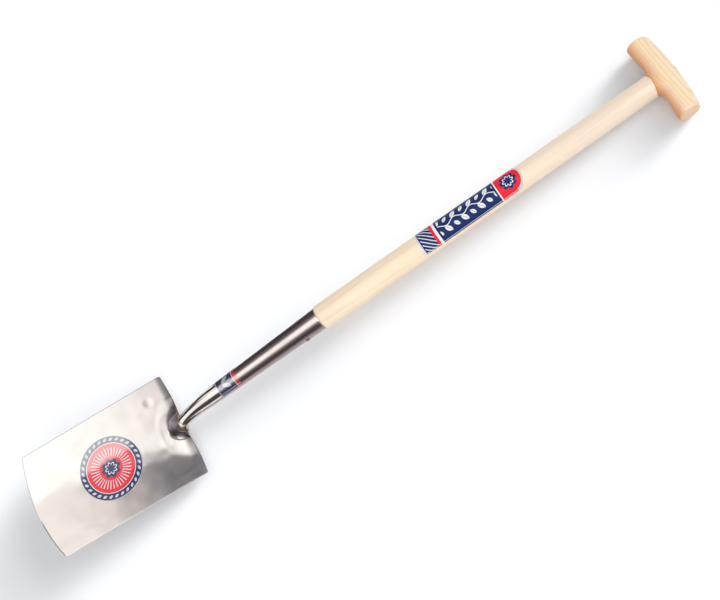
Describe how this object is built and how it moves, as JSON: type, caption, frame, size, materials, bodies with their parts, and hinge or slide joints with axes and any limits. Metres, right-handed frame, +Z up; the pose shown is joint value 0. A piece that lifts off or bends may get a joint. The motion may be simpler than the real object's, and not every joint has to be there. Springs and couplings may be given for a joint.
{
  "type": "spade",
  "caption": "Digging spade with a rectangular dished blade, a swan-necked tubular socket, a wooden shaft and a wooden T-shaped grip, lying on its back.",
  "frame": {"origin": "bottom centre of the bounding box, on the floor that the spade lies on", "axes": "+X along the spade from the cutting edge towards the T-grip, +Y across the blade, +Z up and out of the blade's working face"},
  "size_m": [1.2254, 0.1884, 0.0727],
  "materials": {
    "blade_steel": "stainless sheet, softly polished",
    "socket_steel": "stainless tube, polished bright",
    "weld_steel": "weld metal, straw and brown heat tint",
    "rivet_steel": "steel rivet, satin",
    "shaft_wood": "pale ash, smooth sanded and waxed",
    "grip_wood": "golden ash, smooth sanded and waxed",
    "wedge_wood": "darker hardwood, end trimmed flush",
    "shaft_film": "printed glossy film, navy and red",
    "blade_film": "printed glossy film, red in a navy ring",
    "socket_film": "printed glossy film, navy with a red end"
  },
  "bodies": {
    "root": {"blade": "blade_steel", "tubular_socket": "socket_steel", "neck_weld_bead": "weld_steel", "edge_weld_left": "weld_steel", "edge_weld_right": "weld_steel", "socket_rivet": "rivet_steel", "shaft": "shaft_wood", "t_grip": "grip_wood", "tenon_wedge": "wedge_wood", "shaft_label": "shaft_film", "blade_label": "blade_film", "socket_label": "socket_film"}
  },
  "joints": []
}
